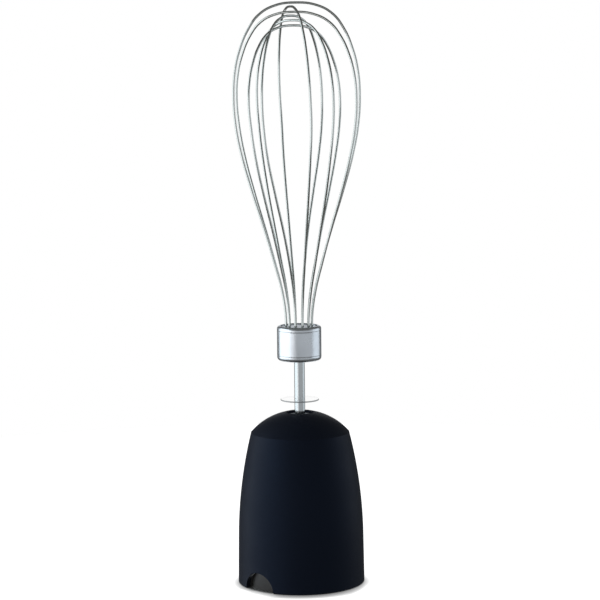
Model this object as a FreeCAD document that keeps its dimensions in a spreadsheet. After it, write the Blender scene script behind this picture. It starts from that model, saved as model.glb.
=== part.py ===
import FreeCAD, Part
import Sketcher
import math
import os

# Balloon whisk attachment with its reduction-gear collar. Millimetres, +Z up.
# The origin is the centre of the collar's open rim, which stands on the table at z = 0.

os.makedirs("parts", exist_ok=True)
doc = FreeCAD.newDocument("balloon_whisk")
sheet = doc.addObject("Spreadsheet::Sheet", "Dims")

D = {
    # collar shell, outside
    "rim_radius": 26.0, "rim_edge": 0.4, "skirt_top_radius": 25.7, "skirt_top_height": 20.4,
    "flank_arc_radius": 185.0, "flank_end_radius": 20.15, "flank_end_height": 62.4,
    "dome_start_radius": 19.75, "dome_start_height": 62.8, "dome_arc_radius": 26.0, "dome_rim_radius": 5.9,
    "collar_height": 70.6, "top_hole_radius": 5.3, "hole_edge_height": 70.2,
    # collar shell, inside
    "skirt_bore": 23.9, "ledge_height": 27.0, "case_seat_radius": 22.6, "case_seat_top": 36.0,
    "upper_bore": 20.3, "upper_bore_height": 51.0, "dome_bore": 18.2, "dome_bore_height": 59.0,
    "dome_inner_radius": 16.4, "dome_inner_height": 61.2, "boss_radius": 8.0, "boss_root_height": 66.4,
    "boss_bottom": 60.5, "bearing_radius": 5.6, "boss_bore_top": 62.5,
    # arch notches and release buttons
    "notch_radius": 7.6, "notch_azimuth": -133.4, "pad_radius": 7.2, "pad_inner": 22.1, "pad_outer": 23.7,
    "pad_bottom": 0.15, "pad_top": 8.0, "neck_bottom": 9.5, "neck_outer": 22.8, "neck_inner": 21.8,
    "neck_top": 12.5, "lever_bottom": 14.5, "lever_outer": 22.3, "lever_inner": 21.4,
    "lever_start": 15.0, "lever_half_width": 4.0, "lever_top": 22.3, "pivot_height": 11.0,
    "pivot_distance": 22.3, "pin_radius": 0.6, "pin_half_length": 6.3, "pin_clearance": 0.05,
    "pivot_boss_radius": 1.0, "pivot_boss_half": 4.4, "hook_tip": 20.3,
    "hook_back": 21.6, "hook_top": 21.5, "hook_bottom": 21.0, "hook_root": 19.6,
    "window_half": 7.9, "window_low_top": 8.6, "window_slot_half": 4.8, "window_top": 24.0,
    "leaf_half_width": 2.2, "leaf_inner": 23.3, "leaf_outer": 23.55, "leaf_top": 26.8,
    "leaf_kick": 0.35, "leaf_inner_bend": 14.2, "leaf_inner_tip": 13.1, "leaf_outer_tip": 12.9,
    "leaf_outer_bend": 14.0,
    # mouth liner
    "mouth_radius": 21.0, "sleeve_bottom": 1.0, "mouth_bore_top": 11.5, "mouth_relief_radius": 21.5,
    # gear cover, gasket, case
    "cover_bottom": 28.0, "cover_top": 31.0, "gasket_thickness": 0.5, "gasket_inner": 19.2,
    "hub_radius": 7.5, "hub_bottom": 24.6, "drive_bearing_radius": 5.0, "drive_bearing_bottom": 24.2,
    "case_outer": 20.9, "case_outer_top": 44.0, "case_shoulder_radius": 18.6, "case_top": 49.5,
    "case_roof": 47.0, "case_step_height": 42.5, "case_step_radius": 16.6,
    "screw_circle": 20.7, "screw_radius": 1.0, "screw_head_radius": 1.8, "screw_head_height": 1.4,
    "screw_tip": 35.0, "slot_half_length": 1.1, "slot_half_width": 0.22, "slot_depth": 0.7,
    # gear train
    "gear_module": 0.7, "sun_teeth": 12.0, "planet_teeth": 18.0, "ring_teeth": 48.0,
    "centre_distance": 10.5, "ring_outer": 18.8, "ring_blank_bore": 12.0, "gear_bottom": 32.1, "gear_top": 42.0,
    "thrust_plate_top": 31.8, "thrust_plate_bore": 5.4,
    "drive_shaft_radius": 3.0, "drive_shaft_bottom": 20.0, "spigot_radius": 1.5, "spigot_top": 45.0,
    "running_clearance": 0.05, "planet_pin_radius": 1.5, "planet_pin_bottom": 32.5,
    "washer_radius": 3.4, "washer_bottom": 42.1, "carrier_radius": 15.6, "carrier_bottom": 43.0,
    "carrier_top": 46.0, "carrier_hole_radius": 2.6, "carrier_hole_circle": 10.2,
    # drive coupling
    "coupling_radius": 6.5, "coupling_bottom": 12.0, "coupling_top": 23.0, "coupling_bore": 3.5,
    "coupling_depth_height": 20.0, "coupling_flute": 0.7, "drive_clip_radius": 4.4,
    "drive_clip_bottom": 23.0, "drive_clip_top": 23.9,
    # output spindle, bearing, seal
    "spindle_radius": 3.6, "spindle_top": 68.1, "socket_radius": 2.22, "socket_floor": 49.5,
    "hex_top": 56.0, "hex_socket_flats": 3.7, "output_bearing_bottom": 49.5, "output_bearing_top": 58.3,
    "spindle_clip_radius": 4.8, "spindle_clip_bottom": 58.5, "spindle_clip_top": 59.4,
    "snap_groove_radius": 3.0, "snap_groove_bottom": 61.5, "snap_groove_top": 62.7,
    "snap_gap_half": 0.6, "seal_bottom": 68.3, "seal_top": 69.5, "seal_edge": 0.25, "seal_bead_outer": 4.95,
    "seal_bead_inner": 4.4, "seal_valley_outer": 4.05, "seal_valley_inner": 3.2, "seal_valley_depth": 0.55,
    "seal_lip_outer": 2.7, "seal_lip_inner": 2.45, "seal_lip_drop": 0.3,
    # whisk stem
    "stem_radius": 2.17, "stem_bottom": 50.0, "stem_top": 103.5, "tongue_flats": 3.6, "tongue_top": 56.2,
    "disc_radius": 7.87, "disc_bottom": 75.5, "disc_thickness": 0.6, "disc_edge": 0.15,
    "disc_hub_radius": 2.6, "disc_hub_bottom": 75.15, "disc_hub_top": 76.45,
    "ferrule_radius": 9.05, "ferrule_bottom": 92.1, "ferrule_top": 106.3, "ferrule_wall": 0.7,
    "ferrule_edge": 1.5, "lip_edge": 1.2, "lip_inner_radius": 7.5, "plug_top": 105.9,
    # wires
    "wire_radius": 0.5, "wire_ring_radius": 5.4, "wire_foot": 96.5, "wire_exit_bend": 106.3,
}
row = 1
for name, number in D.items():
    sheet.set("A" + str(row), name)
    sheet.set("B" + str(row), str(number))
    sheet.setAlias("B" + str(row), name)
    row += 1
doc.recompute()


def value(text):
    """Number for a sum such as 'rim_radius - 2*ferrule_wall'."""
    total = 0.0
    sign = 1.0
    for word in str(text).split():
        if word == "+":
            sign = 1.0
        elif word == "-":
            sign = -1.0
        else:
            product = sign
            for factor in word.split("*"):
                product *= D[factor] if factor in D else float(factor)
            total += product
    return total


def expression(text):
    """The same sum as a FreeCAD expression on the sheet."""
    words = []
    for word in str(text).split():
        factors = ["Dims." + factor if factor in D else factor for factor in word.split("*")]
        words.append("*".join(factors))
    return " ".join(words)


def sketch_outline(body, label, outline, role="XZ_Plane"):
    """Closed outline of (x, y) sums. A third entry makes the edge to the next point an arc of that
    radius (its sum) bulging outward; a fourth entry of -1 turns the bulge round."""
    sketch = doc.addObject("Sketcher::SketchObject", label)
    body.addObject(sketch)
    plane = [f for f in body.Origin.OriginFeatures if f.Role == role][0]
    sketch.AttachmentSupport = (plane, [""])
    sketch.MapMode = "FlatFace"
    count = len(outline)
    corners = [FreeCAD.Vector(value(p[0]), value(p[1]), 0) for p in outline]
    ends = []
    for i in range(count):
        a = corners[i]
        b = corners[(i + 1) % count]
        if len(outline[i]) > 2:
            radius = value(outline[i][2])
            side = outline[i][3] if len(outline[i]) > 3 else 1
            middle = (a + b) * 0.5
            half = (b - a).Length * 0.5
            normal = FreeCAD.Vector((b - a).y, -(b - a).x, 0).normalize() * side
            bulge = middle + normal * (radius - math.sqrt(radius * radius - half * half))
            arc = Part.Arc(a, bulge, b)
            index = sketch.addGeometry(arc, False)
            circle = sketch.Geometry[index]
            forward = (circle.StartPoint - a).Length < 1e-4
            ends.append((1, 2) if forward else (2, 1))
        else:
            index = sketch.addGeometry(Part.LineSegment(a, b), False)
            ends.append((1, 2))
    for i in range(count):
        following = (i + 1) % count
        sketch.addConstraint(Sketcher.Constraint("Coincident", i, ends[i][1], following, ends[following][0]))
    for i in range(count):
        point = (i, ends[i][0])
        if abs(value(outline[i][0])) < 1e-9:
            sketch.addConstraint(Sketcher.Constraint("PointOnObject", point[0], point[1], -2))
        else:
            c = sketch.addConstraint(Sketcher.Constraint("DistanceX", -1, 1, point[0], point[1],
                                                         value(outline[i][0])))
            sketch.setExpression("Constraints[" + str(c) + "]", expression(outline[i][0]))
        if abs(value(outline[i][1])) < 1e-9:
            sketch.addConstraint(Sketcher.Constraint("PointOnObject", point[0], point[1], -1))
        else:
            c = sketch.addConstraint(Sketcher.Constraint("DistanceY", -1, 1, point[0], point[1],
                                                         value(outline[i][1])))
            sketch.setExpression("Constraints[" + str(c) + "]", expression(outline[i][1]))
        if len(outline[i]) > 2:
            c = sketch.addConstraint(Sketcher.Constraint("Radius", i, value(outline[i][2])))
            sketch.setExpression("Constraints[" + str(c) + "]", expression(outline[i][2]))
    return sketch


def turned(label, outline):
    """A body turned about the Z axis from an (radius, height) outline."""
    body = doc.addObject("PartDesign::Body", label + "_body")
    body.Label = label
    sketch = sketch_outline(body, label + "_profile", outline)
    turn = doc.addObject("PartDesign::Revolution", label + "_turn")
    body.addObject(turn)
    turn.Profile = sketch
    turn.ReferenceAxis = (sketch, ["V_Axis"])
    turn.Angle = 360
    body.Tip = turn
    return body


def plate(label, outline, half_width, azimuth="0"):
    """A radial-plane outline padded half_width to each side, then turned to the azimuth."""
    body = doc.addObject("PartDesign::Body", label + "_body")
    body.Label = label
    sketch = sketch_outline(body, label + "_profile", outline)
    pad = doc.addObject("PartDesign::Pad", label + "_pad")
    body.addObject(pad)
    pad.Profile = sketch
    pad.SideType = "Symmetric"
    pad.setExpression("Length", "2 * " + expression(half_width))
    body.Tip = pad
    turn_to(body, azimuth)
    return body


def turn_to(thing, azimuth):
    angle = math.radians(value(azimuth))
    thing.Placement = FreeCAD.Placement(thing.Placement.Base,
                                        FreeCAD.Rotation(FreeCAD.Vector(0, 0, 1), math.degrees(angle)))


def cylinder(label, radius, bottom, top, x="0", y="0"):
    rod = doc.addObject("Part::Cylinder", label)
    rod.setExpression("Radius", expression(radius))
    rod.setExpression("Height", "(" + expression(top) + ") - (" + expression(bottom) + ")")
    rod.setExpression("Placement.Base.z", expression(bottom))
    rod.setExpression("Placement.Base.x", expression(x))
    rod.setExpression("Placement.Base.y", expression(y))
    return rod


def prism(label, sides, flats, bottom, top):
    """A regular prism about the Z axis, sized across its flats."""
    bar = doc.addObject("Part::Prism", label)
    bar.Polygon = sides
    bar.setExpression("Circumradius", "(" + expression(flats) + ") / 2 / cos(180 / " + str(sides) + ")")
    bar.setExpression("Height", "(" + expression(top) + ") - (" + expression(bottom) + ")")
    bar.setExpression("Placement.Base.z", expression(bottom))
    return bar


def cross_bar(label, radius, height, half_length, azimuth, offset="0", tangential=False):
    """A round bar lying along the azimuth, or across it at a distance from the axis."""
    bar = doc.addObject("Part::Cylinder", label)
    bar.setExpression("Radius", expression(radius))
    bar.setExpression("Height", "2 * (" + expression(half_length) + ")")
    angle = math.radians(value(azimuth))
    outward = FreeCAD.Vector(math.cos(angle), math.sin(angle), 0)
    along = FreeCAD.Vector(-math.sin(angle), math.cos(angle), 0) if tangential else outward
    start = outward * value(offset) - along * value(half_length) + FreeCAD.Vector(0, 0, value(height))
    bar.Placement = FreeCAD.Placement(start, FreeCAD.Rotation(FreeCAD.Vector(0, 0, 1), along))
    return bar


def block(label, x0, x1, y0, y1, z0, z1, azimuth="0"):
    """A box from sums, turned about Z to the azimuth."""
    box = doc.addObject("Part::Box", label)
    box.setExpression("Length", "(" + expression(x1) + ") - (" + expression(x0) + ")")
    box.setExpression("Width", "(" + expression(y1) + ") - (" + expression(y0) + ")")
    box.setExpression("Height", "(" + expression(z1) + ") - (" + expression(z0) + ")")
    turn = FreeCAD.Rotation(FreeCAD.Vector(0, 0, 1), value(azimuth))
    corner = turn.multVec(FreeCAD.Vector(value(x0), value(y0), value(z0)))
    box.Placement = FreeCAD.Placement(corner, turn)
    return box


def cut(label, base, tools):
    tool = tools[0]
    if len(tools) > 1:
        tool = doc.addObject("Part::MultiFuse", label + "_tools")
        tool.Shapes = tools
    made = doc.addObject("Part::Cut", label + "_cut")
    made.Base = base
    made.Tool = tool
    made.Label = label
    return made


def join(label, pieces):
    made = doc.addObject("Part::MultiFuse", label + "_join")
    made.Shapes = pieces
    made.Label = label
    return made


def meet(label, first, second):
    made = doc.addObject("Part::MultiCommon", label + "_meet")
    made.Shapes = [first, second]
    made.Label = label
    return made


def group(label, pieces):
    made = doc.addObject("Part::Compound", label + "_group")
    made.Links = pieces
    made.Label = label
    return made


def ring(label, outer, inner, bottom, top):
    return turned(label, [(inner, bottom), (outer, bottom), (outer, top), (inner, top)])


# Collar shell -------------------------------------------------------------------------------------
shell_blank = turned("collar_shell_blank", [
    ("skirt_bore", "0"), ("rim_radius - rim_edge", "0"), ("rim_radius", "rim_edge"),
    ("skirt_top_radius", "skirt_top_height", "flank_arc_radius"),
    ("flank_end_radius", "flank_end_height"), ("dome_start_radius", "dome_start_height", "dome_arc_radius"),
    ("dome_rim_radius", "collar_height"), ("top_hole_radius", "hole_edge_height"),
    ("top_hole_radius", "boss_bore_top"), ("bearing_radius", "boss_bore_top"),
    ("bearing_radius", "boss_bottom"), ("boss_radius", "boss_bottom"), ("boss_radius", "boss_root_height"),
    ("dome_inner_radius", "dome_inner_height"), ("dome_bore", "dome_bore_height"),
    ("upper_bore", "upper_bore_height"), ("case_seat_radius", "case_seat_top"),
    ("case_seat_radius", "ledge_height"), ("skirt_bore", "ledge_height")])
notch_tool = cross_bar("notch_tool", "notch_radius", "0", "rim_radius + 4", "notch_azimuth")
collar_shell = cut("collar_shell", shell_blank, [notch_tool])

# Mouth liner with two lever windows ----------------------------------------------------------------
sleeve_blank = turned("coupling_sleeve_blank", [
    ("mouth_radius + 0.4", "sleeve_bottom"), ("skirt_bore", "sleeve_bottom"), ("skirt_bore", "ledge_height"),
    ("mouth_relief_radius", "ledge_height"), ("mouth_relief_radius", "mouth_bore_top"),
    ("mouth_radius", "mouth_bore_top"), ("mouth_radius", "sleeve_bottom + 0.4")])
window_low = block("window_low", "-1*rim_radius", "rim_radius", "-1*window_half", "window_half",
                   "-1", "window_low_top", "notch_azimuth")
window_slot = block("window_slot", "-1*rim_radius", "rim_radius", "-1*window_slot_half",
                    "window_slot_half", "-1", "window_top", "notch_azimuth")

AZIMUTHS = {"front": "notch_azimuth", "back": "notch_azimuth + 180"}
back_angle = math.radians(value(AZIMUTHS["back"]))
sleeve_tools = [window_low, window_slot]
pins = []
leaves = {}
buttons = {}
for side, azimuth in AZIMUTHS.items():
    pin = cross_bar("pivot_pin_" + side, "pin_radius", "pivot_height", "pin_half_length", azimuth,
                    "pivot_distance", True)
    pins.append(pin)
    sleeve_tools.append(pin)
    leaf = plate("latch_spring_" + side, [
        ("leaf_inner", "leaf_top"), ("leaf_inner", "leaf_inner_bend"),
        ("leaf_inner - leaf_kick", "leaf_inner_tip"), ("leaf_outer - leaf_kick", "leaf_outer_tip"),
        ("leaf_outer", "leaf_outer_bend"), ("leaf_outer", "leaf_top")],
        "leaf_half_width", azimuth)
    leaves[side] = leaf
    sleeve_tools.append(leaf)
    ring_blank = turned("button_ring_" + side, [
        ("pad_inner", "pad_bottom"), ("pad_outer", "pad_bottom"), ("pad_outer", "pad_top"),
        ("neck_outer", "neck_bottom"), ("neck_outer", "neck_top"), ("lever_outer", "lever_bottom"),
        ("lever_outer", "lever_top"), ("hook_back", "lever_top"), ("hook_tip", "hook_top"),
        ("hook_tip", "hook_bottom"), ("lever_inner", "hook_root"), ("lever_inner", "lever_bottom"),
        ("neck_inner", "neck_top"), ("pad_inner", "neck_bottom")])
    arch = doc.addObject("Part::Cylinder", "button_arch_" + side)
    arch.setExpression("Radius", expression("pad_radius"))
    arch.setExpression("Height", expression("rim_radius"))
    arch.Placement = FreeCAD.Placement(FreeCAD.Vector(0, 0, 0), FreeCAD.Rotation(
        FreeCAD.Vector(0, 0, 1), FreeCAD.Vector(math.cos(back_angle), math.sin(back_angle), 0)))
    lever = block("button_lever_" + side, "lever_start", "rim_radius", "-1*lever_half_width", "lever_half_width",
                  "0", "lever_top + 1", AZIMUTHS["back"])
    outline = join("button_outline_" + side, [arch, lever])
    skin = meet("button_skin_" + side, ring_blank, outline)
    boss = cross_bar("button_boss_" + side, "pivot_boss_radius", "pivot_height", "pivot_boss_half",
                     AZIMUTHS["back"], "pivot_distance", True)
    whole = join("button_whole_" + side, [skin, boss])
    bore = cross_bar("button_bore_" + side, "pin_radius + pin_clearance", "pivot_height",
                     "pin_half_length", AZIMUTHS["back"], "pivot_distance", True)
    buttons[side] = cut("release_button_" + side, whole, [bore])
# Both buttons are drawn at the back; the front one is the same piece turned half round the axis.
buttons["front"].Placement = FreeCAD.Placement(FreeCAD.Vector(0, 0, 0),
                                               FreeCAD.Rotation(FreeCAD.Vector(0, 0, 1), 180))
coupling_sleeve = cut("coupling_sleeve", sleeve_blank, sleeve_tools)
pivot_pins = group("pivot_pins", pins)

# Gear cover, gasket, case and screws -----------------------------------------------------------------
screw_angles = [45 + 90 * i for i in range(4)]
heads = []
shanks = []
screws = []
for i, degrees in enumerate(screw_angles):
    x = value("screw_circle") * math.cos(math.radians(degrees))
    y = value("screw_circle") * math.sin(math.radians(degrees))
    head = cylinder("screw_head_" + str(i), "screw_head_radius", "cover_bottom",
                    "cover_bottom + screw_head_height", repr(x), repr(y))
    shank = cylinder("screw_shank_" + str(i), "screw_radius", "cover_bottom", "screw_tip", repr(x), repr(y))
    across = repr(x)
    along = repr(y)
    slot_a = block("screw_slot_a_" + str(i), across + " - slot_half_length", across + " + slot_half_length",
                   along + " - slot_half_width", along + " + slot_half_width",
                   "cover_bottom - 1", "cover_bottom + slot_depth")
    slot_b = block("screw_slot_b_" + str(i), across + " - slot_half_width", across + " + slot_half_width",
                   along + " - slot_half_length", along + " + slot_half_length",
                   "cover_bottom - 1", "cover_bottom + slot_depth")
    heads.append(head)
    shanks.append(shank)
    screws.append(cut("cover_screw_" + str(i), join("screw_body_" + str(i), [head, shank]), [slot_a, slot_b]))
cover_screws = group("cover_screws", screws)
cover_blank = turned("gear_cover_blank", [
    ("drive_bearing_radius", "hub_bottom"), ("hub_radius", "hub_bottom"), ("hub_radius", "cover_bottom"),
    ("case_seat_radius", "cover_bottom"), ("case_seat_radius", "cover_top"),
    ("drive_bearing_radius", "cover_top")])
gear_cover = cut("gear_cover", cover_blank, heads + shanks)
gasket_blank = ring("cover_gasket_blank", "case_seat_radius", "gasket_inner", "cover_top",
                    "cover_top + gasket_thickness")
cover_gasket = cut("cover_gasket", gasket_blank, shanks)
case_blank = turned("gear_case_blank", [
    ("ring_outer", "cover_top + gasket_thickness"), ("case_seat_radius", "cover_top + gasket_thickness"),
    ("case_seat_radius", "case_seat_top"), ("case_outer", "case_seat_top + 1"),
    ("case_outer", "case_outer_top"), ("case_shoulder_radius", "case_top"), ("boss_radius", "case_top"),
    ("boss_radius", "boss_bottom"), ("bearing_radius", "boss_bottom"), ("bearing_radius", "case_roof"),
    ("case_step_radius", "case_roof"), ("case_step_radius", "case_step_height"),
    ("ring_outer", "case_step_height")])
gear_case = cut("gear_case", case_blank, shanks)


# Gears -------------------------------------------------------------------------------------------------
PRESSURE = math.radians(25.0)
BACKLASH = 0.11
ADDENDUM = 0.8
DEDENDUM = 1.1


def involute(angle):
    return math.tan(angle) - angle


def gear_face(teeth, tip, root, thicker):
    """Face inside a gear outline with a tooth centred on +X. thicker widens each tooth at the pitch."""
    pitch = value("gear_module") * teeth * 0.5
    base = pitch * math.cos(PRESSURE)
    half_pitch = math.pi / (2 * teeth) + thicker / (2 * pitch)
    start = max(base, root)
    radii = [start + (tip - start) * t for t in (0.0, 0.12, 0.35, 0.65, 1.0)]

    def half_angle(radius):
        pressure = math.acos(min(1.0, base / radius))
        return half_pitch + involute(PRESSURE) - involute(pressure)

    edges = []

    def at(radius, angle):
        return FreeCAD.Vector(radius * math.cos(angle), radius * math.sin(angle), 0)

    for tooth in range(teeth):
        centre = 2 * math.pi * tooth / teeth
        following = 2 * math.pi * (tooth + 1) / teeth
        rise = [at(r, centre - half_angle(r)) for r in radii]
        fall = [at(r, centre + half_angle(r)) for r in reversed(radii)]
        foot_in = at(root, centre - half_angle(start))
        foot_out = at(root, centre + half_angle(start))
        next_in = at(root, following - half_angle(start))
        if start - root > 1e-6:
            edges.append(Part.LineSegment(foot_in, rise[0]).toShape())
        flank = Part.BSplineCurve()
        flank.interpolate(rise)
        edges.append(flank.toShape())
        edges.append(Part.Arc(rise[-1], at(tip, centre), fall[0]).toShape())
        flank = Part.BSplineCurve()
        flank.interpolate(fall)
        edges.append(flank.toShape())
        if start - root > 1e-6:
            edges.append(Part.LineSegment(fall[-1], foot_out).toShape())
        edges.append(Part.Arc(foot_out, at(root, (centre + following) / 2), next_in).toShape())
    return Part.Face(Part.Wire(edges))


def gear_blank(label, face, bottom, top):
    outline = doc.addObject("Part::Feature", label + "_outline")
    outline.Shape = face
    solid = doc.addObject("Part::Extrusion", label)
    solid.Base = outline
    solid.DirMode = "Custom"
    solid.Dir = FreeCAD.Vector(0, 0, 1)
    solid.Solid = True
    solid.setExpression("LengthFwd", "(" + expression(top) + ") - (" + expression(bottom) + ")")
    solid.setExpression("Placement.Base.z", expression(bottom))
    return solid


MODULE = value("gear_module")
sun_pitch = MODULE * D["sun_teeth"] / 2
planet_pitch = MODULE * D["planet_teeth"] / 2
ring_pitch = MODULE * D["ring_teeth"] / 2
sun_face = gear_face(int(D["sun_teeth"]), sun_pitch + ADDENDUM * MODULE, sun_pitch - DEDENDUM * MODULE, -BACKLASH)
planet_face = gear_face(int(D["planet_teeth"]), planet_pitch + ADDENDUM * MODULE,
                        planet_pitch - DEDENDUM * MODULE, -BACKLASH)
ring_face = gear_face(int(D["ring_teeth"]), ring_pitch + DEDENDUM * MODULE, ring_pitch - ADDENDUM * MODULE,
                      BACKLASH)

ring_blank = ring("ring_gear_blank", "ring_outer", "ring_blank_bore", "thrust_plate_top", "case_step_height")
ring_cutter = gear_blank("ring_cutter", ring_face, "thrust_plate_top - 1", "case_step_height + 1")
ring_gear = cut("ring_gear", ring_blank, [ring_cutter])
thrust_plate = ring("thrust_plate", "ring_outer", "thrust_plate_bore", "cover_top", "thrust_plate_top")

planets = []
for i in range(3):
    blank = gear_blank("planet_blank_" + str(i + 1), planet_face, "gear_bottom", "gear_top")
    bore = cylinder("planet_bore_" + str(i + 1), "planet_pin_radius + running_clearance",
                    "gear_bottom - 1", "gear_top + 1")
    gear = cut("planet_gear_" + str(i + 1), blank, [bore])
    spot = 120.0 * i
    place = FreeCAD.Vector(value("centre_distance") * math.cos(math.radians(spot)),
                           value("centre_distance") * math.sin(math.radians(spot)), 0)
    gear.Placement = FreeCAD.Placement(place, FreeCAD.Rotation(FreeCAD.Vector(0, 0, 1), spot))
    planets.append(gear)

sun_blank = gear_blank("sun_blank", sun_face, "gear_bottom", "gear_top")
sun_blank.Placement.Rotation = FreeCAD.Rotation(FreeCAD.Vector(0, 0, 1), 180.0 / D["sun_teeth"])
drive_shaft = cylinder("drive_shaft", "drive_shaft_radius", "drive_shaft_bottom", "gear_bottom")
spigot = cylinder("sun_spigot", "spigot_radius", "gear_top", "spigot_top")
sun_gear = join("sun_gear", [sun_blank, drive_shaft, spigot])

# Drive coupling that the motor's dog enters from below -------------------------------------------------
coupling_blank = turned("drive_coupling_blank", [
    ("coupling_bore + 0.5", "coupling_bottom"), ("coupling_radius - 0.5", "coupling_bottom"),
    ("coupling_radius", "coupling_bottom + 0.5"), ("coupling_radius", "coupling_top"),
    ("drive_shaft_radius", "coupling_top"), ("drive_shaft_radius", "coupling_depth_height"),
    ("coupling_bore", "coupling_depth_height"), ("coupling_bore", "coupling_bottom + 0.5")])
flutes = []
for i in range(3):
    spin = math.radians(90 + 120 * i)
    flutes.append(cylinder("coupling_flute_" + str(i), "coupling_flute", "coupling_bottom - 1",
                           "coupling_depth_height", repr(value("coupling_bore") * math.cos(spin)),
                           repr(value("coupling_bore") * math.sin(spin))))
drive_coupling = cut("drive_coupling", coupling_blank, flutes)
drive_clip = ring("drive_clip", "drive_clip_radius", "drive_shaft_radius", "drive_clip_bottom", "drive_clip_top")
drive_bearing = ring("drive_bearing", "drive_bearing_radius", "drive_shaft_radius + running_clearance",
                     "drive_bearing_bottom", "cover_top")

# Carrier, spindle and its small pieces -------------------------------------------------------------------
carrier_blank = turned("carrier_blank", [
    ("spigot_radius + running_clearance", "carrier_bottom"), ("carrier_radius", "carrier_bottom"),
    ("carrier_radius", "carrier_top"), ("spigot_radius + running_clearance", "carrier_top")])
carrier_tools = []
planet_pin_list = []
washers = []
for i in range(3):
    spot = math.radians(120 * i)
    x = repr(value("centre_distance") * math.cos(spot))
    y = repr(value("centre_distance") * math.sin(spot))
    pin = cylinder("planet_pin_" + str(i + 1), "planet_pin_radius", "planet_pin_bottom", "carrier_top", x, y)
    planet_pin_list.append(pin)
    carrier_tools.append(pin)
    disc = cylinder("planet_washer_disc_" + str(i + 1), "washer_radius", "washer_bottom", "carrier_bottom", x, y)
    washers.append(cut("planet_washer_" + str(i + 1), disc, [pin]))
    far = math.radians(60 + 120 * i)
    carrier_tools.append(cylinder("carrier_hole_" + str(i + 1), "carrier_hole_radius", "carrier_bottom - 1",
                                  "carrier_top + 1", repr(value("carrier_hole_circle") * math.cos(far)),
                                  repr(value("carrier_hole_circle") * math.sin(far))))
carrier_plate = cut("carrier_plate", carrier_blank, carrier_tools)
planet_pins = group("planet_pins", planet_pin_list)
planet_washers = group("planet_washers", washers)
spindle_blank = turned("output_spindle_blank", [
    ("0", "carrier_top"), ("spindle_radius", "carrier_top"), ("spindle_radius", "spindle_top"),
    ("socket_radius", "spindle_top"), ("socket_radius", "snap_groove_top"),
    ("snap_groove_radius", "snap_groove_top"), ("snap_groove_radius", "snap_groove_bottom"),
    ("socket_radius", "snap_groove_bottom"), ("socket_radius", "hex_top"), ("0", "hex_top")])
hex_socket = prism("hex_socket", 6, "hex_socket_flats", "socket_floor", "hex_top + 0.5")
output_spindle = cut("output_spindle", spindle_blank, [hex_socket])
output_bearing = turned("output_bearing", [
    ("spindle_radius + running_clearance", "output_bearing_bottom"), ("bearing_radius", "output_bearing_bottom"),
    ("bearing_radius", "output_bearing_top"), ("spindle_radius + running_clearance", "output_bearing_top")])
spindle_clip = ring("spindle_clip", "spindle_clip_radius", "spindle_radius", "spindle_clip_bottom",
                    "spindle_clip_top")
snap_full = ring("snap_ring_full", "snap_groove_radius", "stem_radius + running_clearance",
                 "snap_groove_bottom + 0.2", "snap_groove_top - 0.2")
snap_gap = block("snap_gap", "0", "snap_groove_radius + 1", "-1*snap_gap_half", "snap_gap_half",
                 "snap_groove_bottom", "snap_groove_top")
snap_ring = cut("snap_ring", snap_full, [snap_gap])
shaft_seal = turned("shaft_seal", [
    ("stem_radius + running_clearance", "seal_bottom"), ("top_hole_radius", "seal_bottom"),
    ("top_hole_radius", "seal_top - seal_edge"), ("seal_bead_outer", "seal_top"), ("seal_bead_inner", "seal_top"),
    ("seal_valley_outer", "seal_top - seal_lip_drop"), ("seal_valley_inner", "seal_top - seal_valley_depth"),
    ("seal_lip_outer", "seal_top - seal_lip_drop"), ("seal_lip_inner", "seal_top - seal_lip_drop"),
    ("stem_radius + running_clearance", "seal_top - seal_valley_depth")])

# Whisk stem, disc and ferrule ------------------------------------------------------------------------------
stem_round = turned("whisk_stem_round", [
    ("0", "tongue_top"), ("stem_radius", "tongue_top"), ("stem_radius", "stem_top"), ("0", "stem_top")])
tongue = prism("whisk_tongue", 6, "tongue_flats", "stem_bottom", "tongue_top")
whisk_shaft = join("whisk_shaft", [stem_round, tongue])
splash_disc = turned("splash_disc", [
    ("stem_radius", "disc_hub_bottom"), ("disc_hub_radius", "disc_hub_bottom"),
    ("disc_hub_radius", "disc_bottom"), ("disc_radius - disc_edge", "disc_bottom"),
    ("disc_radius", "disc_bottom + disc_edge"), ("disc_radius", "disc_bottom + disc_thickness - disc_edge"),
    ("disc_radius - disc_edge", "disc_bottom + disc_thickness"),
    ("disc_hub_radius", "disc_bottom + disc_thickness"),
    ("disc_hub_radius", "disc_hub_top"), ("stem_radius", "disc_hub_top")])
ferrule = turned("ferrule", [
    ("stem_radius", "ferrule_bottom"), ("ferrule_radius - ferrule_edge", "ferrule_bottom", "ferrule_edge"),
    ("ferrule_radius", "ferrule_bottom + ferrule_edge"),
    ("ferrule_radius", "ferrule_top - lip_edge", "lip_edge"), ("ferrule_radius - lip_edge", "ferrule_top"),
    ("lip_inner_radius", "ferrule_top"), ("lip_inner_radius", "plug_top"),
    ("ferrule_radius - ferrule_wall", "plug_top"),
    ("ferrule_radius - ferrule_wall", "ferrule_bottom + ferrule_wall"),
    ("stem_radius", "ferrule_bottom + ferrule_wall")])
plug_blank = turned("ferrule_plug_blank", [
    ("stem_radius", "ferrule_bottom + ferrule_wall"),
    ("ferrule_radius - ferrule_wall", "ferrule_bottom + ferrule_wall"),
    ("ferrule_radius - ferrule_wall", "plug_top"), ("0", "plug_top"), ("0", "stem_top"),
    ("stem_radius", "stem_top")])
plug_holes = []
for i in range(12):
    spot = math.radians(15 + 30 * i)
    plug_holes.append(cylinder("plug_hole_" + str(i), "wire_radius", "wire_foot", "plug_top + 1",
                               repr(value("wire_ring_radius") * math.cos(spot)),
                               repr(value("wire_ring_radius") * math.sin(spot))))
ferrule_plug = cut("ferrule_plug", plug_blank, plug_holes)

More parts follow.
